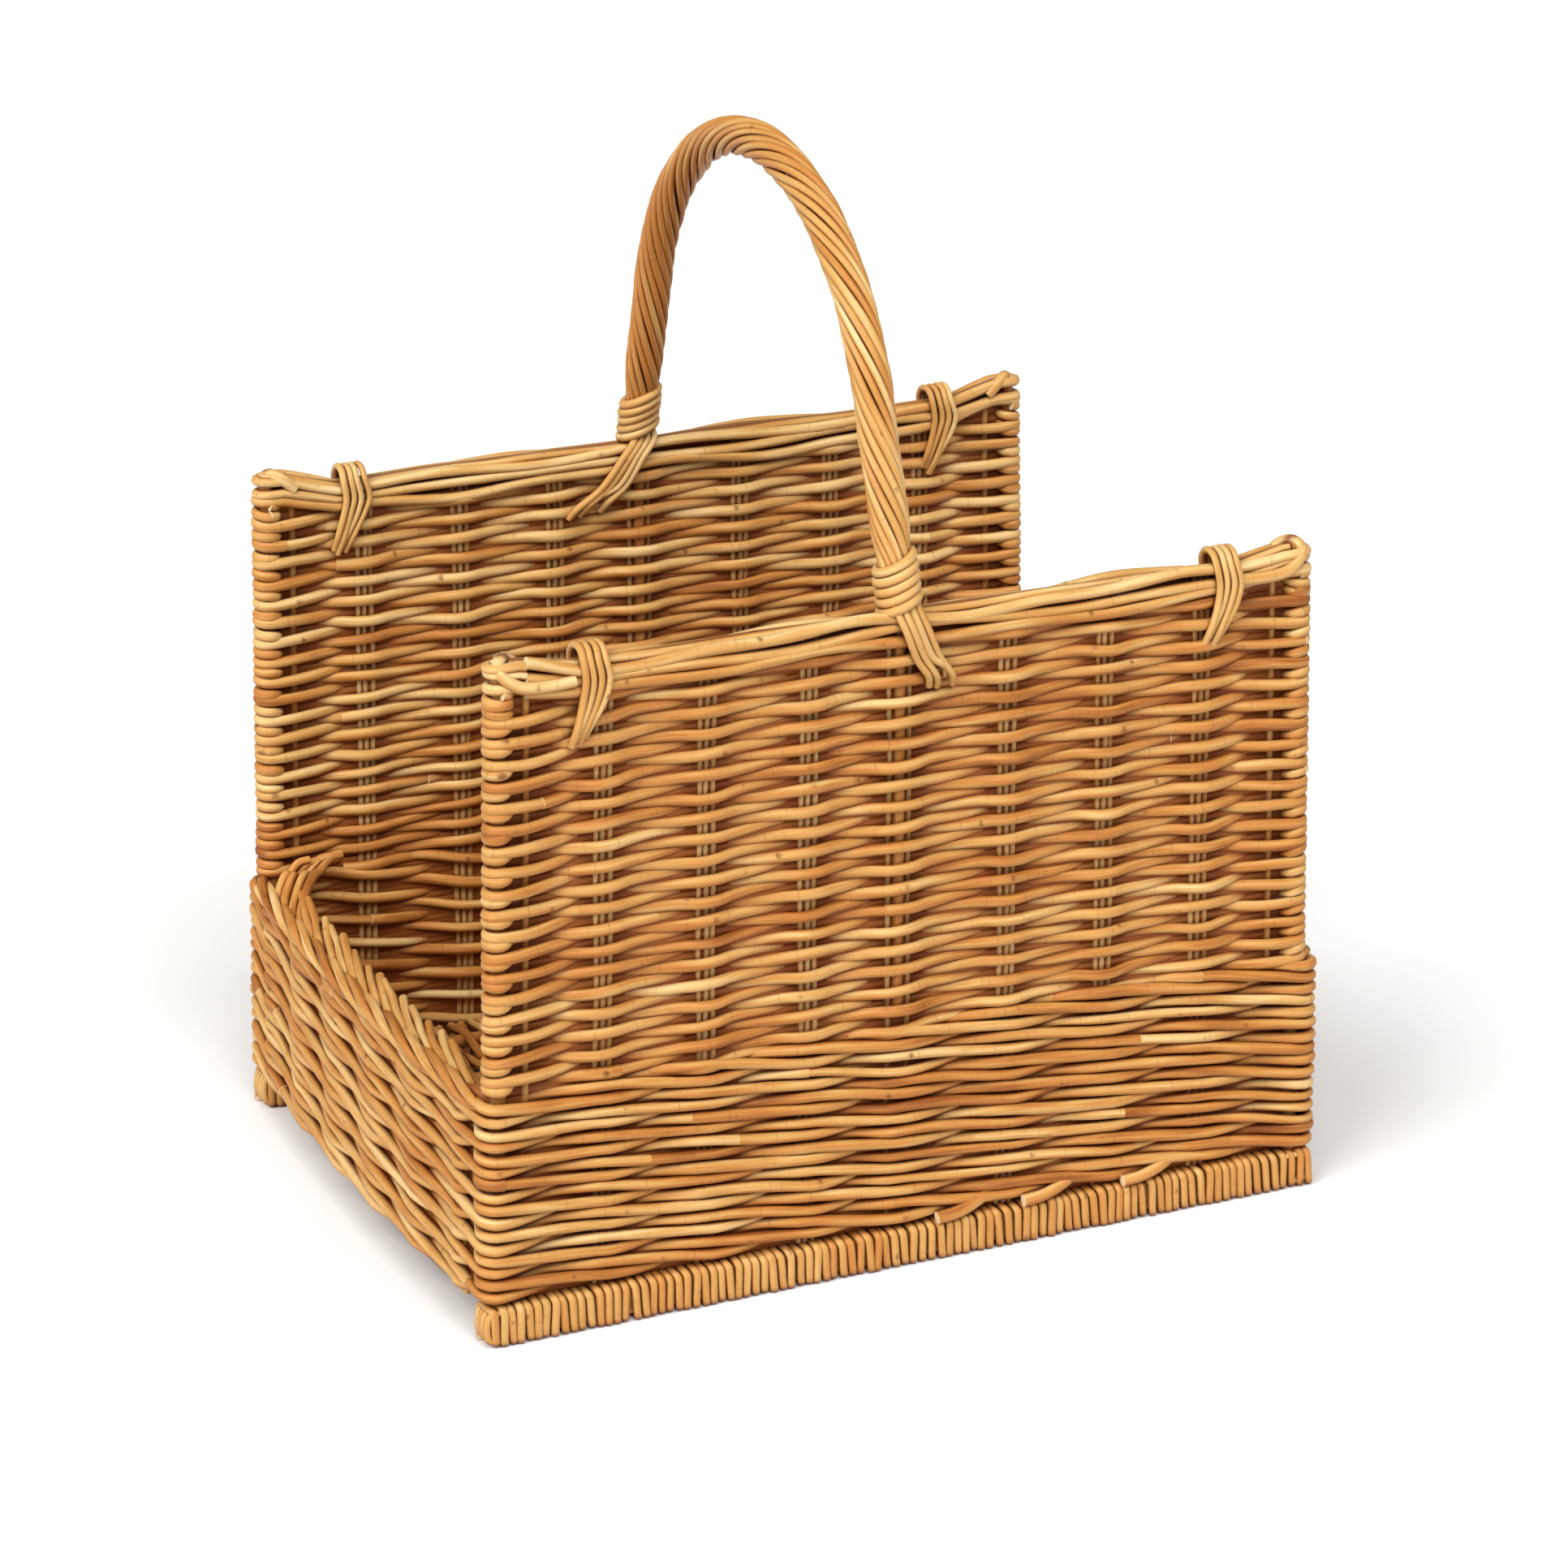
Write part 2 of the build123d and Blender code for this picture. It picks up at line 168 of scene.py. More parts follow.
class Rods:
    """Round rods swept along paths, gathered into one mesh."""

    def __init__(self, seed, depth=None, flare=0.0):
        self.flare = flare
        self.draws = np.random.default_rng(seed)
        self.depth = depth
        self.points, self.space, self.look = [], [], []
        self.tubes, self.caps = [], []
        self.count = 0

    def rod(
        self,
        path,
        radius=ROD_R,
        up=UP,
        tone=None,
        taper=1.0,
        flat=(1, 1),
        sides=ROD_SIDES,
        knots=1.0,
        drift=0.0,
    ):
        """One rod along a path.

        The radius is the butt's, and taper is the tip's share of it. flat stretches its section along up,
        and across that. tone is its colour, from 0, pale, to 1, brown, and drift is how much that grows.
        """
        draws = self.draws
        path = np.asarray(path, float)
        s = run_length(path)
        along = unit(np.gradient(path, axis=0))
        across = unit(np.asarray(up, float) - (along @ np.asarray(up, float))[:, None] * along)
        third = np.cross(along, across)
        angle = np.linspace(0, 2 * math.pi, sides, endpoint=False) + draws.uniform(0, 1)
        size = radius * np.linspace(1.0, taper, len(s)) * (1 + 0.03 * wobble(s, draws, 50))
        shape = 1 + 0.035 * np.cos(2 * angle + draws.uniform(0, 6))
        r = size[:, None] * shape[None, :]
        marks = self._scars(s, angle)
        r = r * (1 + 0.11 * knots * marks)
        cos, sin = np.cos(angle)[None, :, None], np.sin(angle)[None, :, None]
        ring = path[:, None] + r[:, :, None] * (
            flat[0] * cos * across[:, None] + flat[1] * sin * third[:, None]
        )
        place_along = s + draws.uniform(0, 30000)
        space = np.stack(
            [np.broadcast_to(place_along[:, None], r.shape), r * cos[..., 0], r * sin[..., 0]], axis=2
        )
        tone = draws.uniform(0, 1) if tone is None else tone
        tones = tone + drift * s / max(s[-1], 1e-6)
        tones = np.broadcast_to(tones[:, None], r.shape).ravel()
        first = self._add(ring.reshape(-1, 3), space.reshape(-1, 3), tones, marks.ravel())
        self.tubes.append((first, len(s), sides, s, 2 * math.pi * radius))
        for end, order in ((0, -1), (-1, 1)):
            centre = path[end] + along[end] * order * 0.12 * radius
            disc = np.vstack([ring[end], centre])
            disc_space = np.vstack([space[end], [space[end][0][0], 0, 0]])
            first = self._add(disc, disc_space, tone, np.full(sides + 1, -1.0))
            self.caps.append((first, sides, order, radius))

    def _scars(self, s, angle):
        """The bumps that side shoots leave, as how far each point of the skin is raised."""
        draws = self.draws
        marks = np.zeros((len(s), len(angle)))
        place = draws.uniform(5, 60)
        while place < s[-1]:
            facing = np.maximum(np.cos(angle - draws.uniform(0, 2 * math.pi)), 0) ** 2
            bump = np.exp(-(((s - place) / 3.0) ** 2))[:, None] * facing[None, :]
            marks += bump * draws.uniform(0.4, 1.0)
            place += draws.uniform(22, 75)
        return marks

    def _add(self, points, space, tone, marks):
        """Points with their attributes, and the first one's number."""
        first = self.count
        # deep is how near a point is to the face of the weave, which sets how much shade the willow paints
        # on it; 1, so none of that shade, where no depth is given
        deep = np.ones(len(points)) if self.depth is None else self.depth(points)
        self.points.append(points)
        self.space.append(space)
        self.look.append(np.stack([np.zeros(len(points)) + tone, deep, marks], axis=1))
        self.count += len(points)
        return first

    def _corners(self):
        """Every face's vertices and its corners' places on one flat sheet, each rod laid out in strips."""
        margin = 0.8
        height = max(tube[4] for tube in self.tubes) + margin
        total = sum(tube[3][-1] + 3 * margin + 4 * tube[4] / math.pi for tube in self.tubes)
        width = math.sqrt(total * height) * 1.01
        quads, quad_places, tris, tri_places = [], [], [], []
        x, row = 0.0, 0
        caps = iter(self.caps)
        for first, rings, sides, s, girth in self.tubes:
            i = 0
            while i < rings - 1:
                room = width - x - margin
                last = int(np.searchsorted(s, s[i] + room, side="right")) - 1
                last = min(last, rings - 1)
                if last <= i:
                    x, row = 0.0, row + 1
                    continue
                ring, side = np.meshgrid(np.arange(i, last), np.arange(sides), indexing="ij")
                ring, side = ring.ravel(), side.ravel()
                after = (side + 1) % sides
                quads.append(
                    np.stack(
                        [
                            first + ring * sides + side,
                            first + ring * sides + after,
                            first + (ring + 1) * sides + after,
                            first + (ring + 1) * sides + side,
                        ],
                        axis=1,
                    )
                )
                u0, u1 = x + s[ring] - s[i], x + s[ring + 1] - s[i]
                v0 = row * height + side / sides * girth
                v1 = row * height + (side + 1) / sides * girth
                places = [(u0, v0), (u0, v1), (u1, v1), (u1, v0)]
                quad_places.append(np.stack([np.stack(place, axis=1) for place in places], axis=1))
                x += s[last] - s[i] + margin
                i = last
            for _ in range(2):
                cap_first, cap_sides, order, radius = next(caps)
                if x + 2 * radius + margin > width:
                    x, row = 0.0, row + 1
                side = np.arange(cap_sides)
                after = (side + 1) % cap_sides
                edge = np.stack([side, after] if order > 0 else [after, side], axis=1)
                centre = np.full((cap_sides, 1), cap_sides)
                corner = np.hstack([edge, centre])
                tris.append(cap_first + corner)
                turn = corner / cap_sides * 2 * math.pi
                reach = np.where(corner == cap_sides, 0.0, radius)[..., None]
                around = np.stack([np.cos(turn), np.sin(turn)], axis=2)
                tri_places.append(reach * around + [x + radius, row * height + radius])
                x += 2 * radius + margin
        sheet = [width, (row + 1) * height]
        places = np.vstack(quad_places) / sheet, np.vstack(tri_places) / sheet
        return np.vstack(quads), np.vstack(tris), *places

    def piece(self, name, material, slot, *nodes):
        """The rods as one Blender object that stands for those CAD nodes."""
        quads, tris, quad_places, tri_places = self._corners()
        mesh = bpy.data.meshes.new(name)
        points = np.vstack(self.points)
        points[:, 0] *= 1 + LEAN * (LEAN_MIDDLE - points[:, 2]) / (2 * LEAN_MIDDLE)
        points[:, 0] *= 1 + self.flare * flare_share(points)
        points *= MM
        mesh.vertices.add(len(points))
        mesh.vertices.foreach_set("co", points.astype(np.float32).ravel())
        corners = np.concatenate([quads.ravel(), tris.ravel()]).astype(np.int32)
        mesh.loops.add(len(corners))
        mesh.loops.foreach_set("vertex_index", corners)
        starts = np.concatenate(
            [np.arange(len(quads)) * 4, quads.size + np.arange(len(tris)) * 3]
        ).astype(np.int32)
        mesh.polygons.add(len(starts))
        mesh.polygons.foreach_set("loop_start", starts)
        mesh.update(calc_edges=True)
        mesh.validate()
        mesh.shade_smooth()
        places = np.concatenate([quad_places.reshape(-1, 2), tri_places.reshape(-1, 2)])
        layer = mesh.uv_layers.new(name="OFBake")
        layer.uv.foreach_set("vector", places.astype(np.float32).ravel())
        space = np.vstack(self.space) * MM
        for key, values in (("rod_space", space), ("rod_look", np.vstack(self.look))):
            attribute = mesh.attributes.new(key, "FLOAT_VECTOR", "POINT")
            attribute.data.foreach_set("vector", values.astype(np.float32).ravel())
        mesh.materials.append(material)
        made = bpy.data.objects.new(name, mesh)
        bpy.context.scene.collection.objects.link(made)
        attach(made, "root")
        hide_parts(*nodes)
        return made


# Materials


def linear(red, green, blue):
    """A screen colour, 0 to 255, as Blender wants it."""
    shares = [channel / 255 for channel in (red, green, blue)]
    return tuple(c / 12.92 if c <= 0.04045 else ((c + 0.055) / 1.055) ** 2.4 for c in shares) + (1.0,)


class Nodes:
    """A material's node tree, built one call at a time."""

    def __init__(self, name):
        self.material = bpy.data.materials.new(name)
        self.material.use_nodes = True
        self.tree = self.material.node_tree
        self.shader = self.tree.nodes["Principled BSDF"]

    def add(self, kind, inputs=None, **settings):
        """A new node with its inputs and settings."""
        node = self.tree.nodes.new(kind)
        for key, value in settings.items():
            setattr(node, key, value)
        for key, value in (inputs or {}).items():
            self.put(node.inputs[key], value)
        return node

    def put(self, socket, value):
        """A link or a plain value into a socket."""
        if isinstance(value, bpy.types.NodeSocket):
            self.tree.links.new(value, socket)
        else:
            socket.default_value = value

    def math(self, operation, first, second=0.0, clamp=False):
        """One sum."""
        node = self.add("ShaderNodeMath", {0: first, 1: second}, operation=operation, use_clamp=clamp)
        return node.outputs[0]

    def noise(self, vector, scales, detail=3.0, roughness=0.55):
        """Noise, with its own scale on each axis."""
        mapped = self.add("ShaderNodeMapping", {"Vector": vector, "Scale": scales})
        node = self.add(
            "ShaderNodeTexNoise",
            {"Vector": mapped.outputs[0], "Scale": 1.0, "Detail": detail, "Roughness": roughness},
        )
        return node.outputs["Fac"]

    def ramp(self, factor, stops):
        """Colours along a factor."""
        node = self.add("ShaderNodeValToRGB", {"Fac": factor})
        elements = node.color_ramp.elements
        while len(elements) < len(stops):
            elements.new(0.5)
        for element, (place, colour) in zip(elements, stops):
            element.position = place
            element.color = colour
        return node.outputs["Color"]

    def span(self, value, low, high, to_low=0.0, to_high=1.0):
        """A smooth step from one level to another."""
        node = self.add(
            "ShaderNodeMapRange",
            {"Value": value, "From Min": low, "From Max": high, "To Min": to_low, "To Max": to_high},
            interpolation_type="SMOOTHSTEP",
        )
        return node.outputs["Result"]

    def mix(self, factor, first, second, blend="MIX"):
        """Two colours mixed."""
        node = self.add("ShaderNodeMix", data_type="RGBA", blend_type=blend)
        self.put(node.inputs["Factor"], factor)
        self.put(node.inputs[6], first)
        self.put(node.inputs[7], second)
        return node.outputs[2]


CREAM = linear(236, 208, 160)
STRAW = linear(222, 186, 126)
HONEY = linear(203, 155, 88)
AMBER = linear(188, 124, 58)
CHESTNUT = linear(140, 78, 30)
BARK = linear(88, 40, 14)
# the dark red-brown painted as shade in the recesses of the weave and in the narrow gaps between rods
PAINTED_SHADE_BROWN = linear(104, 38, 8)
PITH = linear(236, 214, 170)


def willow(name, stops, gloss=0.36, deep=0.8):
    """Peeled willow: streaks along the rod, patches of other browns and scars, and painted shade: darker in
    the recesses of the weave (as strong as deep), in the narrow gaps between rods and on the undersides.
    """
    n = Nodes(name)
    space = n.add("ShaderNodeAttribute", attribute_name="rod_space").outputs["Vector"]
    look = n.add("ShaderNodeAttribute", attribute_name="rod_look").outputs["Vector"]
    parts = n.add("ShaderNodeSeparateXYZ", {0: look})
    tone, depth, marks = parts.outputs[0], parts.outputs[1], parts.outputs[2]
    patches = n.noise(space, (14, 160, 160), detail=2.0)
    streaks = n.noise(space, (28, 900, 900), detail=4.0, roughness=0.65)
    fibre = n.noise(space, (120, 2600, 2600), detail=2.0)
    rings = n.noise(space, (420, 60, 60), detail=2.0)

    def swing(noise, amount):
        """A noise as a shift to either side."""
        return n.math("MULTIPLY", n.math("SUBTRACT", noise, 0.5), amount)

    shade = n.math("ADD", n.math("MULTIPLY", tone, 0.62), swing(patches, 1.5))
    shade = n.math("ADD", shade, swing(streaks, 0.75))
    shade = n.math("ADD", shade, 0.16, clamp=True)
    colour = n.ramp(shade, stops)
    colour = n.mix(n.span(rings, 0.58, 0.72, 0.0, 0.22), colour, BARK)
    colour = n.mix(n.span(streaks, 0.62, 0.78, 0.0, 0.5), colour, CHESTNUT)
    colour = n.mix(n.span(marks, 0.35, 0.9, 0.0, 0.75), colour, BARK)
    # painted shade: the deeper inside the weave a point lies, the nearer its colour is painted to the dark
    # shade brown
    hollow_painted_shade = n.span(depth, 0.0, 0.42, deep, 0.0)
    # painted shade: the undersides of the rods are painted darker and browner
    normal = n.add("ShaderNodeNewGeometry").outputs["Normal"]
    facing = n.add("ShaderNodeSeparateXYZ", {0: normal}).outputs[2]
    colour = n.mix(n.span(facing, 0.35, -0.85, 0.0, 0.5), colour, CHESTNUT)
    # painted shade: ambient occlusion paints the narrow gaps between rods dark red-brown
    closed = n.add("ShaderNodeAmbientOcclusion", {"Distance": 0.011}, samples=4).outputs["AO"]
    crevice_painted_shade = n.span(closed, 0.15, 0.7, 0.8, 0.0)
    colour = n.mix(n.math("MAXIMUM", hollow_painted_shade, crevice_painted_shade), colour, PAINTED_SHADE_BROWN)
    colour = n.mix(n.span(marks, -0.2, -0.6, 0.0, 0.8), colour, PITH)
    n.put(n.shader.inputs["Base Color"], colour)
    rough = n.span(fibre, 0.3, 0.75, gloss, gloss + 0.22)
    n.put(n.shader.inputs["Roughness"], rough)
    n.shader.inputs["Specular IOR Level"].default_value = 0.22
    height = n.math("ADD", n.math("MULTIPLY", streaks, 0.6), n.math("MULTIPLY", fibre, 0.25))
    height = n.math("ADD", height, n.math("MULTIPLY", n.span(rings, 0.55, 0.7), 0.12))
    bump = n.add("ShaderNodeBump", {"Strength": 0.55, "Distance": 0.0005, "Height": height})
    n.put(n.shader.inputs["Normal"], bump.outputs[0])
    return n.material


def batten_wood(name):
    """The sawn batten inside a foot, with its grain along X."""
    n = Nodes(name)
    place = n.add("ShaderNodeTexCoord").outputs["Object"]
    bands = n.noise(place, (9, 180, 180), detail=4.0, roughness=0.6)
    pores = n.noise(place, (60, 1400, 1400), detail=2.0)
    colour = n.ramp(bands, [(0.3, HONEY), (0.5, AMBER), (0.72, CHESTNUT)])
    colour = n.mix(n.span(pores, 0.55, 0.75, 0.0, 0.5), colour, BARK)
    n.put(n.shader.inputs["Base Color"], colour)
    n.put(n.shader.inputs["Roughness"], n.span(pores, 0.3, 0.8, 0.5, 0.75))
    bump = n.add("ShaderNodeBump", {"Strength": 0.4, "Distance": 0.0004, "Height": pores})
    n.put(n.shader.inputs["Normal"], bump.outputs[0])
    return n.material


WOVEN = willow("woven_willow_rods", [(0.0, STRAW), (0.3, HONEY), (0.62, AMBER), (1.0, CHESTNUT)])
PALE = willow(
    "pale_willow_rods", [(0.0, CREAM), (0.35, STRAW), (0.65, HONEY), (1.0, AMBER)], gloss=0.3, deep=0.9
)
STAKE = willow("stake_rods", [(0.0, STRAW), (0.6, HONEY), (1.0, CHESTNUT)], deep=0.0)
BINDING = willow("binding_cane", [(0.0, STRAW), (0.45, HONEY), (1.0, AMBER)], gloss=0.32, deep=0.7)
STOUT = willow("stout_rods", [(0.0, HONEY), (0.5, AMBER), (1.0, CHESTNUT)], deep=0.0)
BATTEN = batten_wood("foot_batten")


# Side panels


def panel_frame(side):
    """A side panel's middle plane, outward direction, stake groups and posts."""
    low, high = mm_box(f"panel_weave_{side}")
    groups = []
    for index in range(1, 8):
        group_low, group_high = mm_box(f"panel_stakes_{side}_{index}")
        groups.append(((group_low[0] + group_high[0]) / 2, (group_high[0] - group_low[0]) / 2))
    posts = [middle(f"corner_post_{side}_{end}")[0] for end in ENDS]
    return {
        "y": (low[1] + high[1]) / 2,
        "half": (high[1] - low[1]) / 2,
        "out": SIDES[side],
        "low": low[2],
        "high": high[2],
        "groups": groups,
        "posts": posts,
    }


def panel_shade_depth(panel):
    """How near a point is to a panel's face or end, from 0 inside to 1; the willow paints shade where it is
    low.
    """

    def depth(points):
        off = np.abs(points[:, 1] - panel["y"]) / panel["half"]
        end = (np.abs(points[:, 0]) - abs(panel["posts"][0])) / panel["half"]
        return np.clip(np.maximum(off, end), 0, 1)

    return depth


# how far the rims hang between their corners, and where along X they begin to and how soon they have
RIM_SAG = {"front": 6.0, "back": 9.0}
SAG_FROM = 238
SAG_OVER = 34
ROW_PITCH = 6.1
# a rod's distance from the panel's middle plane at a stake group, its share of that beside the group,
# and its distance beside a post
PANEL_REACH = 4.5
BESIDE_SHARE = 0.36
POST_REACH = 5.6
# the thin flat rods that close the chinks between the rows; they sit dark brown in the middle of the weave
# as painted shade in the gaps
CHINK_R = 1.8
CHINK_SHAPE = (2.1, 0.62)
# the turns round a post: their radius, and how they climb to the next row, at every quarter turn
POST_TURN_R = 6.2
POST_TURN_RISE = [-0.3, 0.2, 0.9, 3.0, 5.2, 5.9, 6.4]
EXTRA_STAKE_IN = 16.0


def post_turns(x, y, heading, arriving, heights):
    """Points round a post, an eighth of a turn apart, one at each height."""
    points = []
    for eighth, height in enumerate(heights):
        turn = math.pi * eighth / 4
        along, off = POST_TURN_R * math.sin(turn), POST_TURN_R * math.cos(turn)
        points.append((x + heading * along, y + arriving * off, height))
    return points


def weaver_line(panel, rows, bottom, pitch, draws):
    """Plain weave as one long line, up and down the panel, with an extra turn round each end post."""
    line = []
    for row in range(rows):
        z = bottom + (row + 0.5) * pitch
        rightward = row % 2 == 0
        order = range(7) if rightward else range(6, -1, -1)
        heading = 1 if rightward else -1
        for index in order:
            x, half_width = panel["groups"][index]
            sign = 1 if (row + index) % 2 else -1
            reach = PANEL_REACH if half_width < 7 else PANEL_REACH + 1.0
            reach += draws.uniform(-0.3, 0.3)
            lift = draws.uniform(-0.8, 0.8)
            # a rod bends sharply round each group, and runs nearly straight from one group to the next
            for step, beyond, share in (
                (-1, 10.0, BESIDE_SHARE),
                (-1, -1.5, 1.0),
                (1, -1.5, 1.0),
                (1, 10.0, BESIDE_SHARE),
            ):
                along = x + heading * step * (half_width + beyond)
                line.append((along, panel["y"] + panel["out"] * sign * reach * share, z + lift * share))
        post = panel["posts"][1 if rightward else 0]
        # the post counts as one more group, so the rod changes face on its way there
        arriving = -panel["out"] * sign
        line.append((post - heading * EXTRA_STAKE_IN, panel["y"] + arriving * POST_REACH, z))
        if row == rows - 1:
            line += post_turns(post, panel["y"], heading, arriving, z + 0.75 * np.arange(9))
            break
        rises = np.interp(np.arange(13) / 2, np.arange(7), POST_TURN_RISE) * pitch / ROW_PITCH
        line += post_turns(post, panel["y"], heading, arriving, z + rises)
        line.append((post - heading * EXTRA_STAKE_IN, panel["y"] - arriving * POST_REACH, z + pitch))
    return line


def close_chinks(rods, panel, heights):
    """Thin flat rods in the panel's middle plane, between the rows, dark brown as painted shade in the gaps.
    """
    ends = min(panel["posts"]), max(panel["posts"])
    for z in heights:
        path = np.stack([np.linspace(*ends, 36), np.full(36, panel["y"]), np.full(36, z)], axis=1)
        rods.rod(path, CHINK_R, tone=1.0, flat=CHINK_SHAPE, sides=6, knots=0.0)


def finish_posts(rods, panel, top):
    """An extra upright beside each post, and the post's last turns, up into the rim's corner."""
    for post in panel["posts"]:
        x = post - math.copysign(EXTRA_STAKE_IN, post)
        heights = np.linspace(panel["low"] - 6, panel["high"], 30)
        path = np.stack([np.full(30, x), np.full(30, panel["y"]), heights], axis=1)
        rods.rod(even(path, 8), 2.6, up=ACROSS, tone=0.6)
        angle = np.linspace(0, 5 * math.pi, 44)
        coil = [
            post + POST_TURN_R * np.sin(angle),
            panel["y"] + POST_TURN_R * np.cos(angle),
            np.linspace(top - 8, panel["high"] + 1.5, 44),
        ]
        coil = smooth(np.stack(coil, axis=1), 3.0, fine=4)
        rods.rod(coil, 3.0, tone=rods.draws.uniform(0.2, 0.6), flat=(1.0, 0.9))


def panel_pieces(side, seed):
    """A side panel's weave, with the turns that cover its posts."""
    panel = panel_frame(side)
    rods = Rods(seed, panel_shade_depth(panel))
    draws = rods.draws
    bottom = panel["low"] - ROW_PITCH
    top = panel["high"] - RIM_SAG[side] + 1.0
    rows = int(round((top - bottom) / ROW_PITCH))
    pitch = (top - bottom) / rows
    path = shaken(smooth(weaver_line(panel, rows, bottom, pitch, draws)), draws, (0.0, 0.25, 0.9), 80)
    above = int((panel["high"] - top) / pitch + 0.9)
    close_chinks(rods, panel, bottom + pitch * np.arange(rows + 1 + above))
    for first, last in cut_lengths(path, draws, 650, 1300):
        butt = draws.uniform(3.2, 3.5)
        rods.rod(
            path[first : last + 1],
            butt,
            flat=(1.06, 0.9),
            taper=draws.uniform(0.86, 0.97),
            tone=draws.beta(1.6, 1.9),
        )
    finish_posts(rods, panel, top)
    rods.piece(
        f"weave_{side}",
        WOVEN,
        "woven_willow",
        f"panel_weave_{side}",
        f"post_wrap_{side}_left",
        f"post_wrap_{side}_right",
    )


def upright_rods(seed, places, low, high, radius, lean=0.5, flare=0.0):
    """Upright rods with a little bend in each."""
    rods = Rods(seed, flare=flare)
    for x, y in places:
        path = np.stack([np.full(40, x), np.full(40, y), np.linspace(low, high, 40)], axis=1)
        path = shaken(even(path), rods.draws, (lean, 0.15, 0.0), 160)
        rods.rod(path, radius, up=ACROSS, tone=rods.draws.uniform(0, 0.7), taper=0.9)
    return rods


def stake_pieces(side, seed):
    """The stake groups of a side panel."""
    for index in range(1, 8):
        node = f"panel_stakes_{side}_{index}"
        low, high = mm_box(node)
        y = (low[1] + high[1]) / 2
        outer = low[0] + STAKE_R, high[0] - STAKE_R
        places = [(outer[0], y), ((low[0] + high[0]) / 2, y), (outer[1], y)]
        if index == 4:
            places = [places[0], places[2]]
        rods = upright_rods(seed + index, places, low[2], high[2] - 4 - RIM_SAG[side], STAKE_R)
        rods.piece(f"stakes_{side}_{index}", STAKE, "stake_rod", node)


def post_pieces(side, seed):
    """The corner posts."""
    for number, end in enumerate(ENDS):
        node = f"corner_post_{side}_{end}"
        low, high = mm_box(node)
        x, y = middle(node)[:2]
        rods = upright_rods(seed + number, [(x, y)], low[2], high[2] + 1, 4.9, lean=0.0)
        rods.piece(f"post_{side}_{end}", STOUT, "stout_rod", node)


# The tray


def wall_x(y):
    """The X of the right end wall's bowed middle line."""
    inner = mm_box("tray_wall_right")
    half_y = inner[1][1]
    thickness = 17.0
    bow = 6.0
    straight = inner[1][0] - thickness / 2 - bow
    return straight + bow * (1 - (np.minimum(np.abs(y), half_y) / half_y) ** 2)


def tray_stations():
    """The tray's stake groups and posts in the order that its rods meet them, clockwise seen from above."""
    stations = []
    for side, end in (("front", "left"), ("back", "right")):
        out = SIDES[side]
        panel = panel_frame(side)
        post = ENDS[end] * abs(panel["posts"][0])
        order = reversed(panel["groups"]) if side == "front" else panel["groups"]
        for x, half_width in order:
            stations.append({"at": (x, panel["y"]), "normal": (0, out), "half": half_width, "drop": 0.0})
        normal = (ENDS[end] / math.sqrt(2), out / math.sqrt(2))
        stations.append({"at": (post, panel["y"]), "normal": normal, "half": 0, "drop": 0.2})
        for group_y, drop in zip((150, 90, 30, -30, -90, -150), (0.7, 1, 1, 1, 1, 0.7)):
            at = (ENDS[end] * wall_x(group_y), out * group_y)
            stations.append({"at": at, "normal": (ENDS[end], 0), "half": 6.2, "drop": drop})
        normal = (ENDS[end] / math.sqrt(2), -out / math.sqrt(2))
        stations.append({"at": (post, -panel["y"]), "normal": normal, "half": 0, "drop": 0.2})
    return stations


# the Y of the side walls' middle planes
TRAY_SIDE_Y = 181


def tray_shade_depth(points):
    """How near a point is to the tray's inner or outer face; the willow paints shade where it is low."""
    x, y = np.abs(points[:, 0]), np.abs(points[:, 1])
    off_side = y - TRAY_SIDE_Y
    off_end = x - wall_x(y)
    off = np.where(off_side > -9, np.where(off_end > -9, np.maximum(off_side, off_end), off_side), off_end)
    return np.clip(np.abs(off) / 8.6, 0, 1)


WALE_REACH = STAKE_R + WALE_R - 0.1
END_WALE_REACH = 4.3
# the tray's rods swell outwards by this share of their X on the right, and by less on the left
TRAY_FLARE = 0.018
WALE_ROUNDS = 8
WALE_START = 3.0
# the walls, and the first and last station of each
WALL_STEPS = (("front", -1, 7), ("left", 7, 14), ("back", 14, 22), ("right", 22, 29))
# the X of a few stout ends left showing along the bottom of the front
STOUT_ENDS = (16, 70, 133)
# how high a rod is in its round, in shares of the round: at its first and second group outside,
# inside, where it goes in, and where it comes out again
BEAT_LEVEL = (-0.25, 0.25, 0.0)
GOES_IN, COMES_OUT = 0.31, -0.31


def wale_points(station, beat, z, slope):
    """Where a rod passes a station, outside it or inside."""
    x, y = station["at"]
    nx, ny = station["normal"]
    points = []
    if station["half"] == 0:
        if beat == 2:
            return [(x - 6.8 * nx, y - 6.8 * ny, z)]
        middle_turn = math.atan2(ny, nx)
        for turn in (0.75, 0.25, -0.25, -0.75):
            angle = middle_turn + turn
            points.append((x + 8.2 * math.cos(angle), y + 8.2 * math.sin(angle), z - slope * turn))
        return points
    tangent = (ny, -nx)
    sign = 1 if beat != 2 else -1
    reach = WALE_REACH if station["half"] < 7 else WALE_REACH + 0.8
    if nx:
        reach = END_WALE_REACH
    half = station["half"] - 1.0
    for step in (-1, 1):
        points.append(
            (
                x + step * half * tangent[0] + sign * reach * nx,
                y + step * half * tangent[1] + sign * reach * ny,
                z + slope * step,
            )
        )
    return points


def wall_of(point):
    """The wall that a point of a rod belongs to."""
    if abs(point[1]) > 165:
        return "front" if point[1] < 0 else "back"
    return "left" if point[0] < 0 else "right"


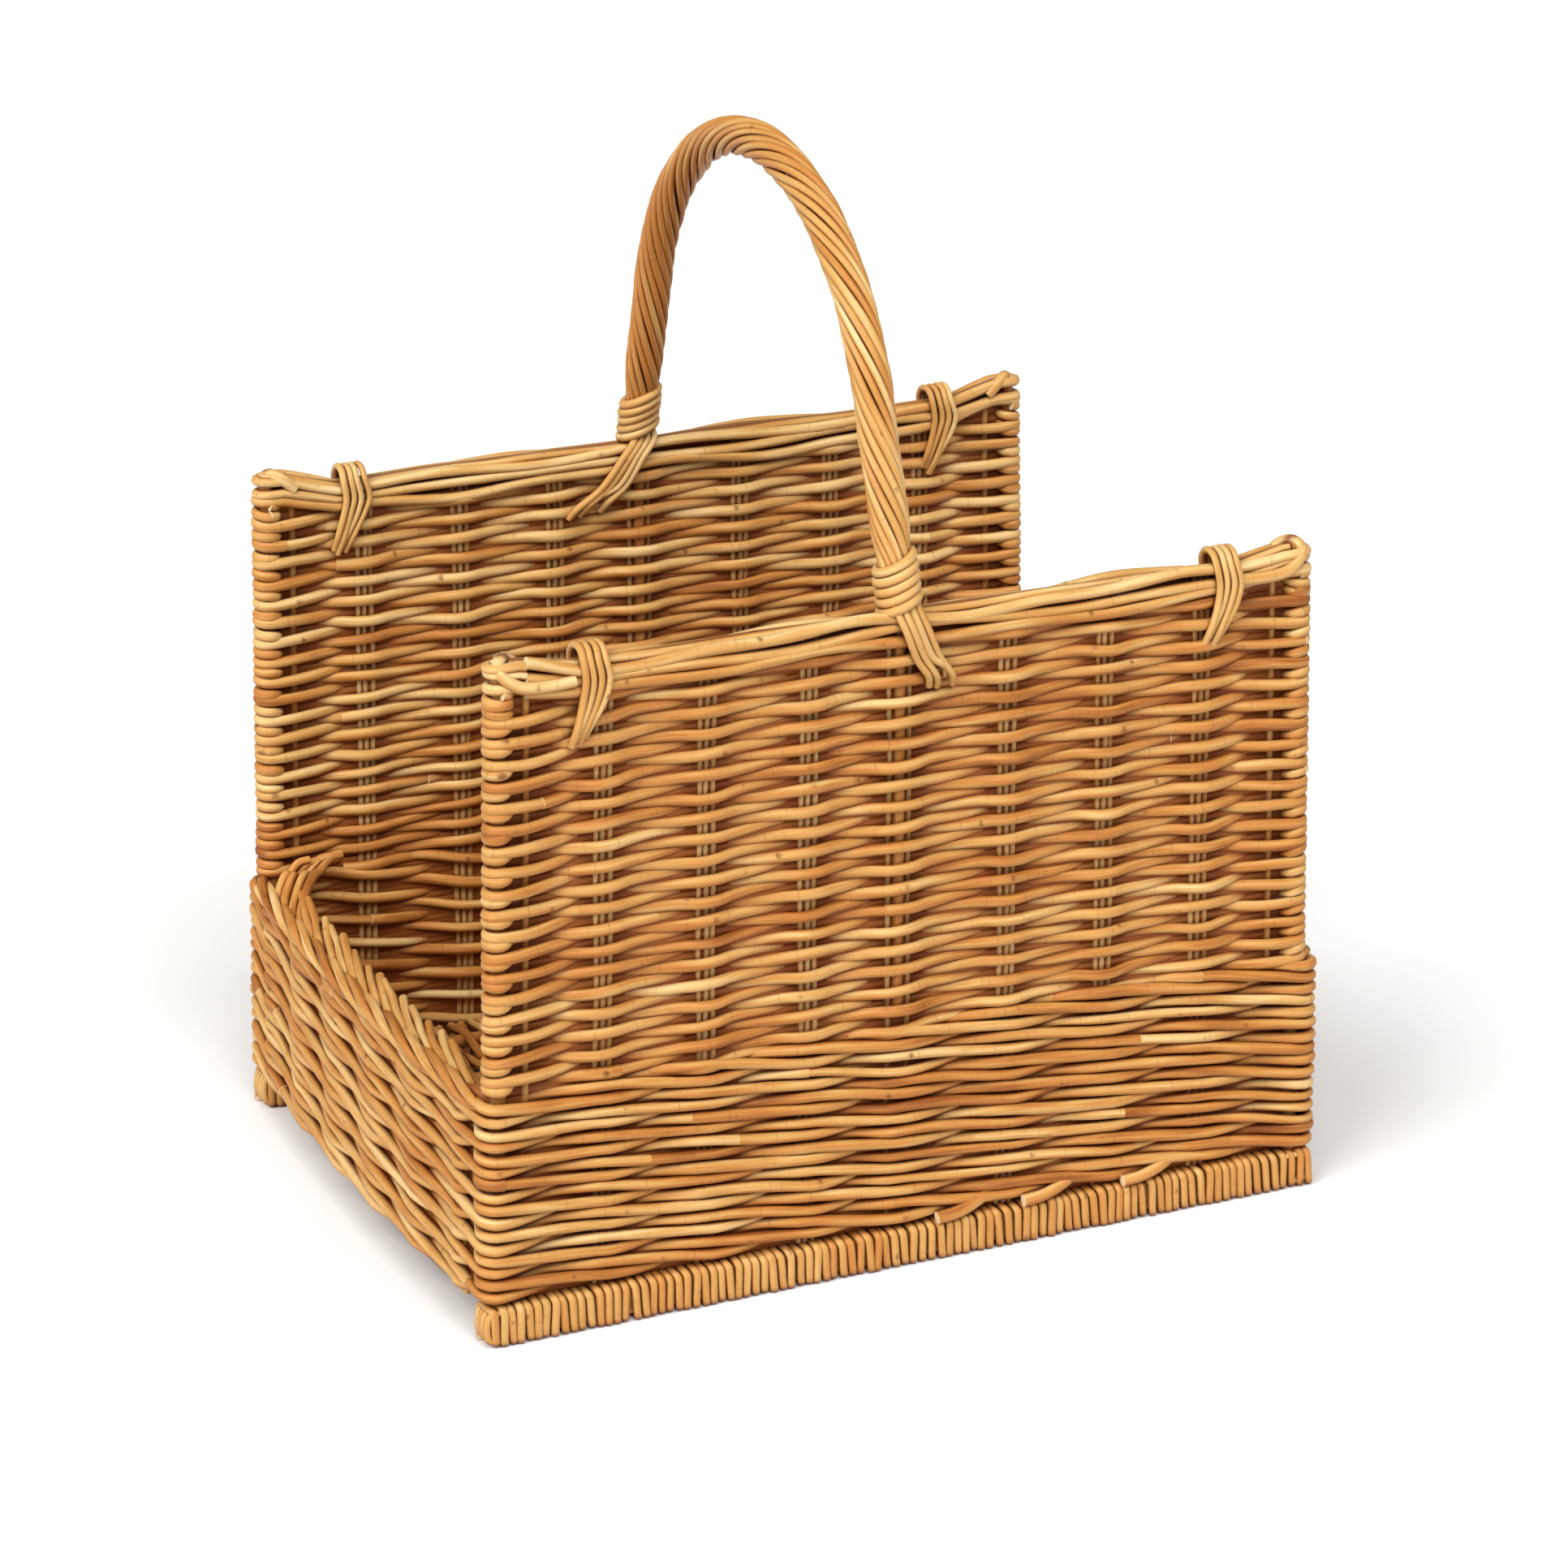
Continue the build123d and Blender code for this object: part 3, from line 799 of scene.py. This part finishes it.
def tray_chinks(walls, stations, height_at):
    """Thin flat rods along each wall's middle line, four to a round, which close the chinks: dark brown
    fillers, painted shade in the gaps.
    """
    count = len(stations)
    for turn in range(WALE_ROUNDS):
        for level in (-0.5, -0.25, 0.0, 0.25):
            for wall, first, last in WALL_STEPS:
                path = []
                for step in range(first, last + 1):
                    x, y = stations[step % count]["at"]
                    along = min(max(step, 0), count - 1)
                    path.append((x, y, height_at(turn * count + along, level)))
                walls[wall].rod(smooth(path, 12.0), CHINK_R, tone=1.0, flat=CHINK_SHAPE, sides=6, knots=0.0)


def tray_weavers(walls, stations, height_at, draws):
    """Three rods worked round the tray together: each passes outside two groups, then inside one."""
    count = len(stations)
    for weaver in range(3):
        line = []
        for step in range(-5, WALE_ROUNDS * count - 4 + weaver):
            station, following = stations[step % count], stations[(step + 1) % count]
            beat = (step + weaver) % 3
            lift = draws.uniform(-0.6, 0.6)
            slope = 0.5 if beat != 2 else -0.8
            line += wale_points(station, beat, height_at(step, BEAT_LEVEL[beat]) + lift, slope)
            if beat == 0:
                continue
            x = (station["at"][0] + following["at"][0]) / 2
            y = (station["at"][1] + following["at"][1]) / 2
            level = GOES_IN if beat == 1 else COMES_OUT
            line.append((x, y, (height_at(step, level) + height_at(step + 1, level)) / 2 + lift))
        path = shaken(smooth(line), draws, (0.2, 0.2, 0.6), 90)
        for first, last in cut_lengths(path, draws, 500, 1050):
            rod = path[first : last + 1]
            wall = wall_of(rod[len(rod) // 2])
            if wall in SIDES:
                butt, tone = draws.uniform(3.3, 3.7), draws.beta(2.1, 1.3)
            else:
                butt, tone = draws.uniform(3.0, 3.35), draws.beta(1.3, 2.1)
            walls[wall].rod(rod, butt, taper=draws.uniform(0.82, 0.96), tone=tone)


def tray_pieces(seed):
    """The tray's four walls."""
    stations = tray_stations()
    count = len(stations)
    side_low, side_high = mm_box("tray_wall_front")
    end_low, end_high = mm_box("tray_wall_left")
    climb = 7

    def height_at(step, level):
        """A height at a step, level all round but for the last wall, where each round climbs to the next."""
        station = stations[step % count]
        low = side_low[2] + WALE_START + (end_low[2] - side_low[2]) * station["drop"]
        high = side_high[2] + (end_high[2] - side_high[2]) * station["drop"]
        height = (high - low) / WALE_ROUNDS
        turn, along = divmod(step, count)
        climbed = turn + max(0, along - (count - climb)) / climb
        climbed = min(max(climbed, 0), WALE_ROUNDS - 1)
        return low + height * (climbed + 0.5 + level)

    names = [wall for wall, _, _ in WALL_STEPS]
    walls = {wall: Rods(seed + number, tray_shade_depth, TRAY_FLARE) for number, wall in enumerate(names, 1)}
    tray_chinks(walls, stations, height_at)
    tray_weavers(walls, stations, height_at, np.random.default_rng(seed))
    for x in STOUT_ENDS:
        stub = [(x, -190.5, 27.5), (x + 12, -190.3, 28.5), (x + 23, -188.0, 31), (x + 36, -183, 35)]
        walls["front"].rod(smooth(stub, 3.0), 3.7, tone=0.45, knots=0.3)
    for wall, rods in walls.items():
        rods.piece(f"tray_{wall}", WOVEN, "woven_willow", f"tray_wall_{wall}")


def end_stake_pieces(seed):
    """The stakes of the two end walls."""
    for number, (name, end) in enumerate(ENDS.items()):
        low, high = mm_box(f"end_stakes_{name}")
        places = []
        for group_y in (-150, -90, -30, 30, 90, 150):
            x = end * wall_x(group_y)
            places += [(x, group_y - 4.2), (x, group_y), (x, group_y + 4.2)]
        rods = upright_rods(seed + number, places, low[2], high[2], STAKE_R, lean=0.3, flare=TRAY_FLARE)
        rods.piece(f"stakes_{name}", STAKE, "stake_rod", f"end_stakes_{name}")


def border_rope(rods, base, end, onward):
    """Four rods laid together like a rope along an end wall's top, their ends hidden behind the posts."""
    strands = 4
    for strand in range(strands):
        line = []
        for y in np.linspace(-187, 187, 34):
            corner = max(0, abs(y) - 150) / 36
            turn = 2 * math.pi * (onward * y / 118 + strand / strands)
            x = float(wall_x(y)) + 2.8 + 3.5 * math.cos(turn) - 2.5 * corner**2
            hidden = max(0, abs(y) - 174) / 13
            z = base + 5.4 + 4.2 * math.sin(turn) + 2.5 * corner - 11 * hidden**2
            line.append((end * (x - 9 * hidden**2), y * (1 - 0.02 * hidden), z))
        path = shaken(smooth(line, 3.4), rods.draws, (0.3, 0.0, 0.5), 90)
        rods.rod(path, 2.9, tone=(0.1, 0.75, 0.3, 0.9)[strand], taper=0.9)


def border_stake(rods, base, end, onward, index):
    """One stake bent over along the top; the last ones turn up against the panel's inner face."""
    draws = rods.draws
    y0 = -onward * 166 + onward * (index * 18.6 + draws.uniform(-3, 3))
    reach = draws.uniform(56, 70)
    room = 172 - onward * y0
    tip = draws.uniform(-1.0, 2.5)
    if room > reach + 22:
        bend = (
            (-6, -4.5, -16),
            (-3, -3.0, -3),
            (4, -0.5, 5),
            (16, -2.0, 9.0),
            (32, -5.5, 10.5),
            (46, -9.0, 11.5 + tip / 2),
            (reach, -12.5, 12.5 + tip),
        )
        bend = [(y0 + onward * along, out, height) for along, out, height in bend]
    else:
        inward = 6.0 + 0.36 * room
        last = onward * (167 - draws.uniform(0, 2))
        rise = draws.uniform(17, 22)
        bend = (
            (-0.15, -4.5, -16),
            (-0.08, -3.0, -3),
            (0.15, -1.0, 6),
            (0.5, -0.28 * inward, 11),
            (0.82, -0.66 * inward, 17),
            (0.96, -0.88 * inward, rise - 5),
            (1.0, -inward - 4, rise + 1),
            (1.0, -inward - 11, rise + 2),
        )
        bend = [(y0 + (last - y0) * share, out, height) for share, out, height in bend]
    line = [(end * (float(wall_x(y)) + out), y, base + height) for y, out, height in bend]
    path = shaken(smooth(line, 3.2), draws, (0.3, 0.0, 0.3), 60)
    radius = draws.uniform(2.7, 3.2)
    rods.rod(path, radius, up=(end * 0.8, 0.3, 0.4), taper=0.86, tone=draws.beta(1.5, 1.8))


def border_pieces(seed):
    """The end walls' top edges, which both run the same way round the basket."""
    for number, (name, end) in enumerate(ENDS.items()):
        base = mm_box(f"end_border_{name}")[0][2]
        rods = Rods(seed + number, flare=TRAY_FLARE)
        # three thin flat dark brown rods along the wall's top: painted shade in the gaps there
        for height in (-2.0, 1.5, 5.0):
            line = [(end * float(wall_x(y)), y, base + height) for y in np.linspace(-172, 172, 20)]
            rods.rod(smooth(line, 8.0), CHINK_R * 1.2, tone=1.0, flat=CHINK_SHAPE, sides=6, knots=0.0)
        border_rope(rods, base, end, -end)
        for index in range(18):
            border_stake(rods, base, end, -end, index)
        rods.piece(f"border_{name}", WOVEN, "woven_willow", f"end_border_{name}")


# Feet and base


FOOT_ROD_HALF = 1.95
# a loop over a foot's end: how far in from the end, and how high as a share of the foot's half height
FOOT_END_LOOP = ((16, 0.8), (8, 0.8), (3.2, 0.66), (1.9, 0.2), (1.9, -0.3), (3.4, -0.7), (10, -0.78))


def foot_section(half_y, half_z):
    """The way round a foot's section, from its middle, with rounded corners."""
    corner = 2.6
    ring = []
    for sign_y, sign_z in ((1, -1), (1, 1), (-1, 1), (-1, -1)):
        start = math.atan2(sign_z, sign_y) - math.pi / 4
        for part in range(4):
            angle = start + part * math.pi / 6
            dy = sign_y * (half_y - corner) + corner * math.cos(angle)
            dz = sign_z * (half_z - corner) + corner * math.sin(angle)
            ring.append((dy, dz))
    return ring


def foot_turns(low, high, draws):
    """Turns round a foot from end to end as one line, uneven in width, size and lean."""
    y, z = (low[1:] + high[1:]) / 2
    half_y = (high[1] - low[1]) / 2 - FOOT_ROD_HALF + 1.0
    half_z = (high[2] - low[2]) / 2 - FOOT_ROD_HALF
    ring = foot_section(half_y, half_z)
    x, line = low[0] + 2.6, []
    while x < high[0] - 2.6:
        width = draws.uniform(4.5, 5.6) + (draws.uniform(0.6, 1.6) if draws.uniform() < 0.2 else 0.0)
        bulge = 1 + draws.uniform(-0.5, 0.6) / 9
        lean = draws.uniform(-0.9, 0.6)
        for index, (dy, dz) in enumerate(ring):
            along = x + width * index / len(ring) + lean * dz / half_z
            line.append((along, y + dy * bulge, max(z + dz * bulge, low[2] + FOOT_ROD_HALF)))
        x += width
    return line


def foot_pieces(seed):
    """Fine rod wound closely round each foot's batten, and loops over its ends."""
    for number, side in enumerate(SIDES):
        node = f"foot_wrap_{side}"
        low, high = mm_box(node)
        rods = Rods(seed + number)
        draws = rods.draws
        line = foot_turns(low, high, draws)
        y, z = middle(node)[1:]
        half_z = (high[2] - low[2]) / 2 - FOOT_ROD_HALF
        for end in ENDS.values():
            edge = high[0] if end > 0 else low[0]
            for dy in (-6.6, -2.2, 2.2, 6.6):
                loop = [(edge - end * inward, y + dy, z + rise * half_z) for inward, rise in FOOT_END_LOOP]
                rods.rod(smooth(loop, 2.5), 2.1, up=ACROSS, knots=0.3, sides=8)
        path = smooth(line, 3.4, fine=5)
        for first, last in cut_lengths(path, draws, 260, 900):
            rods.rod(
                path[first : last + 1],
                2.5,
                up=SIDEWAYS,
                flat=(1.0, 0.76),
                tone=draws.uniform(0.5, 1),
                taper=0.97,
                sides=8,
                knots=0.5,
            )
        rods.piece(f"foot_{side}", BINDING, "binding_cane", node)


def base_pieces(seed):
    """The floor: stout sticks along the basket, and rods woven over and under them."""
    low, high = mm_box("base_sticks")
    sticks = Rods(seed)
    z = (low[2] + high[2]) / 2
    stick_ys = np.linspace(low[1] + 4.5, high[1] - 4.5, 6)
    for y in stick_ys:
        path = np.stack([np.linspace(low[0] - 6, high[0] + 6, 60), np.full(60, y), np.full(60, z)], axis=1)
        path = shaken(even(path, 6), sticks.draws, (0, 0.8, 0.2), 200)
        sticks.rod(path, 4.3, tone=sticks.draws.uniform(0.2, 0.9), taper=0.9)
    sticks.piece("floor_sticks", STOUT, "stout_rod", "base_sticks")
    weave_low, weave_high = mm_box("base_weave")
    # how near a point is to the floor weave's top or bottom face, which sets its painted shade
    rods = Rods(seed + 1, lambda points: np.clip(np.abs(points[:, 2] - z) / 6.5, 0, 1))
    draws = rods.draws
    x, row = weave_low[0] - 4, 0
    while x < weave_high[0] + 5:
        edge = 170.0
        line = [(x, -edge, z)]
        for index, y in enumerate(stick_ys):
            sign = 1 if (row + index) % 2 else -1
            for step in (-3.5, 3.5):
                across = x + draws.uniform(-0.4, 0.4)
                line.append((across, y + step, z + sign * (4.3 + draws.uniform(-0.2, 0.2))))
        line.append((x, edge, z))
        path = shaken(smooth(line, 4.6), draws, (0.7, 0.0, 0.15), 90)
        rods.rod(path, draws.uniform(2.7, 3.1), up=SIDEWAYS, tone=draws.beta(1.8, 1.6), taper=0.92, sides=8)
        x += draws.uniform(6.0, 6.7)
        row += 1
    rods.piece("floor_weave", WOVEN, "woven_willow", "base_weave")


# Rims and lashings


def rim_sag(side, x):
    """How far a rim hangs at x."""
    return RIM_SAG[side] * np.clip((SAG_FROM - np.abs(x)) / SAG_OVER, 0, 1)


# the rod at a rim's corner: how far in from the post, off the panel's middle, and below the rim's top
RIM_CORNER = (
    (16, -6.0, 8),
    (8, -5.4, 1.0),
    (2, -1.0, -1.4),
    (-1.5, 3.4, 2.0),
    (2, 6.6, 8),
    (10, 8.2, 13.0),
    (24, 8.4, 14.6),
    (42, 7.6, 14.0),
)


def rim_pieces(side, seed):
    """Long rods along a panel's top edge, on both faces, turned round the posts."""
    panel = panel_frame(side)
    low, high = mm_box(f"top_rim_{side}")
    rods = Rods(seed, panel_shade_depth(panel))
    draws = rods.draws
    y, out = panel["y"], panel["out"]
    post = abs(panel["posts"][0])
    reach = 5.3
    rows = 3
    pitch = (high[2] - low[2]) / rows
    for row in range(rows):
        base = low[2] + 2.9 + row * (high[2] - low[2] - 5.6) / (rows - 1)
        line = []
        for way in (1, -1):
            face = way * out * reach
            for x in np.linspace(-post + 14, post - 14, 10):
                line.append((way * x, y + face, base))
            for turn in np.linspace(0, math.pi, 5):
                line.append((way * (post + 6.0 * math.sin(turn)), y + face * math.cos(turn), base))
        line.append(line[0])
        path = smooth(line)
        s = run_length(path)
        wave = wobble(s, draws, 170) * 2.6 * pitch / 6
        sag = rim_sag(side, path[:, 0])
        path = path + np.stack([np.zeros_like(s), 0.35 * wobble(s, draws, 120), wave - sag], axis=1)
        for first, last in cut_lengths(path, draws, 380, 640):
            rods.rod(
                path[first : last + 1],
                draws.uniform(3.2, 3.8),
                tone=draws.uniform(0.25, 1.0),
                taper=draws.uniform(0.75, 0.95),
            )
    for offset, height in ((-1.8, 0.8), (2.2, 1.6)):
        line = [(x, y + out * offset, high[2] - 1.8) for x in np.linspace(-post + 6, post - 6, 12)]
        path = smooth(line)
        s = run_length(path)
        arch = height * np.sin(math.pi * (s / s[-1])) - rim_sag(side, path[:, 0])
        sway = 0.8 * wobble(s, draws, 160)
        path = path + np.stack([0 * s, sway, arch + 0.7 * wobble(s, draws, 140)], axis=1)
        rods.rod(path, 2.75, tone=draws.uniform(0, 0.9), taper=0.8)
    for end in ENDS.values():
        corner = [(end * (post - inward), y + out * off, high[2] - drop) for inward, off, drop in RIM_CORNER]
        rods.rod(smooth(corner, 3.0), 3.6, tone=draws.uniform(0.4, 0.8), taper=1.02)
    rods.piece(f"rim_{side}", PALE, "pale_willow", f"top_rim_{side}")


def lashing_pieces(side, seed):
    """Strands looped over a rim, their ends tucked into the weave."""
    panel = panel_frame(side)
    y, out = panel["y"], panel["out"]
    for number, end in enumerate(ENDS):
        node = f"lashing_{side}_{end}"
        low, high = mm_box(node)
        low[2] += 5
        high[2] -= RIM_SAG[side] - 1
        x = (low[0] + high[0]) / 2
        rods = Rods(seed + number)
        draws = rods.draws
        strands = 4
        lean = -5.0
        for strand in range(strands):
            offset = strand - (strands - 1) / 2
            radius = draws.uniform(1.95, 2.3)
            drop = draws.uniform(-4, 4)
            line = []
            for share, reach, height in (
                (1.7, 6.0, low[2] - 5 + drop),
                (1.2, 9.4, low[2] + 4 + drop),
                (0.1, 10.2, low[2] + 19),
                (-0.35, 10.2, high[2] - 19),
                (0.0, 9.0, high[2] - 8),
                (0.0, 5.2, high[2] - 3.0),
                (0.0, 0.0, high[2] - 1.6),
                (0.0, -5.2, high[2] - 3.0),
                (0.0, -9.0, high[2] - 8),
                (-0.35, -10.2, high[2] - 19),
                (0.1, -10.2, low[2] + 19),
                (1.2, -9.4, low[2] + 4 - drop),
                (1.7, -6.0, low[2] - 5 - drop),
            ):
                spread = 4.3 * (1 - 0.25 * share)
                line.append((x + offset * spread + lean * share, y + out * reach, height))
            path = smooth(line, 3.0)
            path = shaken(path, draws, (0.35, 0.1, 0.1), 60)
            rods.rod(path, radius, up=SIDEWAYS, tone=draws.uniform(0.1, 0.8), taper=0.95, knots=0.5)
        rods.piece(f"lash_{side}_{end}", BINDING, "binding_cane", node)


# Handle


def filleted(points, radii, step=2.0):
    """A line of straight runs with round corners, in a plane."""
    points = [np.array(p, float) for p in points]
    path = [points[0]]
    for before, corner, after, radius in zip(points, points[1:], points[2:], radii):
        back, on = unit(before - corner), unit(after - corner)
        half = math.acos(float(np.clip(back @ on, -1, 1))) / 2
        cut = radius / math.tan(half)
        centre = corner + unit(back + on) * radius / math.sin(half)
        start, finish = corner + back * cut - centre, corner + on * cut - centre
        sweep = math.pi - 2 * half
        for share in np.linspace(0, 1, max(int(radius * sweep / step), 3)):
            first = math.sin((1 - share) * sweep) / math.sin(sweep)
            second = math.sin(share * sweep) / math.sin(sweep)
            path.append(centre + first * start + second * finish)
    path.append(points[-1])
    return np.array(path)


BOW_R = 4.0
# the bow has a straight run up each side; the two would meet at its peak, and its top is round
BOW_PEAK = (18, 1022)
BOW_TOP_R = 157
BOW_BEND_R = 40
ROPE_PITCH = 168.0


def handle_line():
    """The handle's middle line, from the front panel over to the back one."""
    low, high = mm_box("handle_bow")
    x = (low[0] + high[0]) / 2
    y = high[1] - BOW_R
    rim = mm_box("top_rim_front")[1][2]
    corners = [(-y, low[2]), (-y, rim), BOW_PEAK, (y, rim), (y, low[2])]
    flat = filleted(corners, (BOW_BEND_R, BOW_TOP_R, BOW_BEND_R))
    path = np.stack([np.full(len(flat), x), flat[:, 0], flat[:, 1]], axis=1)
    return even(path, 3.0)


def handle_pieces(seed):
    """The bow, and the rope of rods twisted round it."""
    line = handle_line()
    bow = Rods(seed)
    bow.rod(line, BOW_R, up=SIDEWAYS, tone=0.5)
    bow.piece("bow", STOUT, "stout_rod", "handle_bow")
    s = run_length(line)
    rope = Rods(seed + 1)
    draws = rope.draws
    bind = mm_box("handle_binding_front")[1][2]
    rim = mm_box("top_rim_front")[1][2]
    above = np.where(line[:, 2] > rim - 4)[0]
    part = line[above[0] : above[-1] + 1]
    place = s[above[0] : above[-1] + 1]
    along = unit(np.gradient(part, axis=0))
    across = np.tile(np.array(SIDEWAYS), (len(part), 1))
    third = np.cross(along, across)
    neck = np.clip((part[:, 2] - bind + 6) / 26, 0, 1)
    neck = neck * neck * (3 - 2 * neck)
    strands = 12
    for strand in range(strands):
        radius = draws.uniform(2.2, 2.6)
        turn = 2 * math.pi * strand / strands - 2 * math.pi * (place - place[0]) / ROPE_PITCH
        turn = turn + 0.05 * wobble(place, draws, 160)
        reach = (7.0 + 2.2 * neck) * (1 + 0.02 * wobble(place, draws, 120))
        path = part + reach[:, None] * (
            np.cos(turn)[:, None] * across + np.sin(turn)[:, None] * third
        )
        # drift browns each strand along its run to the back leg: partly a rod's own change from butt to tip,
        # partly painted shade on the far leg
        rope.rod(path, radius, up=SIDEWAYS, tone=draws.uniform(0.3, 1.0), taper=0.95, knots=0.4, drift=0.8)
    rope.piece("rope", PALE, "pale_willow", "handle_rope")


def binding_pieces(side, seed):
    """The turns of rod that bind the handle to its rim."""
    node = f"handle_binding_{side}"
    low, high = mm_box(node)
    line = handle_line()
    leg = line[: len(line) // 3] if SIDES[side] < 0 else line[: -len(line) // 3 : -1]
    rods = Rods(seed)
    draws = rods.draws
    turns = 5
    heights = np.linspace(low[2] - 4, high[2] - 1, turns * 16)
    centre = np.stack([np.interp(heights, leg[:, 2], leg[:, i]) for i in range(3)], axis=1)
    angle = np.linspace(0, 2 * math.pi * turns, len(heights))
    reach = 10.6 + 0.3 * np.sin(angle * 0.37)
    slant = 4.0 * np.cos(angle + 0.3)
    around = np.stack([np.cos(angle), np.sin(angle), 0 * angle], axis=1)
    path = centre + reach[:, None] * around + np.stack([0 * angle, 0 * angle, slant], axis=1)
    rods.rod(smooth(path, 3.0, fine=4), 2.9, tone=draws.uniform(0.1, 0.5), knots=0.3)
    rods.piece(f"binding_{side}", BINDING, "binding_cane", node)


def tail_pieces(side, seed):
    """The rope's rod ends, laid over one face of the panel below the handle."""
    node = f"handle_tails_{side}"
    low, high = mm_box(node)
    high[2] -= RIM_SAG[side] - 1
    panel = panel_frame(side)
    x_top = middle("handle_bow")[0]
    rods = Rods(seed)
    draws = rods.draws
    slant = 21.0 if side == "front" else -34.0
    count = 4
    for index in range(count):
        offset = index - (count - 1) / 2
        fan = 1.0 if side == "front" else 1.4
        end_x = x_top + slant + offset * 4.9 * fan
        drop = draws.uniform(-3, 4)
        face = panel["y"] - panel["half"]
        halfway = offset * 4.5 * (1 + (fan - 1) * 0.4)
        line = [
            (x_top + offset * 4.2, panel["y"] - 4.0, high[2] + 10),
            (x_top + 1 + offset * 4.3, panel["y"] - 8.2, high[2] + 3),
            (x_top + slant * 0.25 + offset * 4.5, face - 3.4, high[2] - 8),
            (x_top + slant * 0.62 + halfway, face - 3.0, (low[2] + high[2]) / 2 - 3),
            (end_x, face - 2.0, low[2] + 10 + drop),
            (end_x + slant * 0.12, face + 2.5, low[2] + 3 + drop),
        ]
        path = shaken(smooth(line, 3.0), draws, (0.3, 0.15, 0.0), 50)
        radius = draws.uniform(2.2, 2.6)
        rods.rod(path, radius, up=SIDEWAYS, tone=draws.uniform(0, 0.7), taper=0.9, knots=0.5)
    rods.piece(f"tails_{side}", BINDING, "binding_cane", node)


# Stage, light and camera


def floor_material():
    """A pale, matt floor."""
    n = Nodes("studio_floor")
    place = n.add("ShaderNodeTexCoord").outputs["Object"]
    soft = n.noise(place, (3, 3, 3), detail=2.0)
    stops = [(0.3, linear(243, 243, 242)), (0.7, linear(249, 249, 248))]
    n.put(n.shader.inputs["Base Color"], n.ramp(soft, stops))
    n.put(n.shader.inputs["Roughness"], n.span(soft, 0.3, 0.7, 0.75, 0.85))
    return n.material


def stage():
    """A plain pale floor."""
    size = 40.0
    mesh = bpy.data.meshes.new("floor")
    corners = [(-size, -size, 0), (size, -size, 0), (size, size, 0), (-size, size, 0)]
    mesh.from_pydata(corners, [], [(0, 1, 2, 3)])
    mesh.materials.append(floor_material())
    floor = bpy.data.objects.new("floor", mesh)
    bpy.context.scene.collection.objects.link(floor)


def sun(name, azimuth, height, angle, strength, colour=(1, 1, 1)):
    """A soft light from far away: its direction seen from the basket, and how wide it looks, in degrees."""
    lamp = bpy.data.lights.new(name, "SUN")
    lamp.energy = strength
    lamp.angle = math.radians(angle)
    lamp.color = colour
    made = bpy.data.objects.new(name, lamp)
    made.rotation_euler = (math.radians(90 - height), 0, math.radians(azimuth + 90))
    bpy.context.scene.collection.objects.link(made)


def studio():
    """Soft light from the left and above, and a camera that looks down at the basket from its front left."""
    world = bpy.data.worlds.new("studio")
    world.use_nodes = True
    world.node_tree.nodes["Background"].inputs["Color"].default_value = (1, 1, 1, 1)
    world.node_tree.nodes["Background"].inputs["Strength"].default_value = 0.25
    bpy.context.scene.world = world
    sun("key", 204, 40, 38, 2.42, (1.0, 0.99, 0.97))
    sun("top", 262, 50, 40, 2.2)
    camera = bpy.data.cameras.new("camera")
    camera.lens = 128.51
    camera.sensor_width = 36.0
    camera.clip_end = 50.0
    made = bpy.data.objects.new("camera", camera)
    made.location = (-1.2862, -2.7961, 1.3916)
    made.rotation_euler = (math.radians(69.33), 0, math.radians(-24.838))
    bpy.context.scene.collection.objects.link(made)
    bpy.context.scene.camera = made
    bpy.context.scene.view_settings.view_transform = "Standard"


studio()
stage()
for core in ("foot_core_front", "foot_core_back"):
    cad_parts[core].data.materials.clear()
    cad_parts[core].data.materials.append(BATTEN)
for number, side_name in enumerate(SIDES):
    shift = 100 * number
    panel_pieces(side_name, 11 + shift)
    stake_pieces(side_name, 21 + shift)
    post_pieces(side_name, 31 + shift)
    rim_pieces(side_name, 41 + shift)
    lashing_pieces(side_name, 51 + shift)
    binding_pieces(side_name, 61 + shift)
    tail_pieces(side_name, 71 + shift)
tray_pieces(301)
end_stake_pieces(311)
border_pieces(321)
foot_pieces(331)
base_pieces(341)
handle_pieces(351)
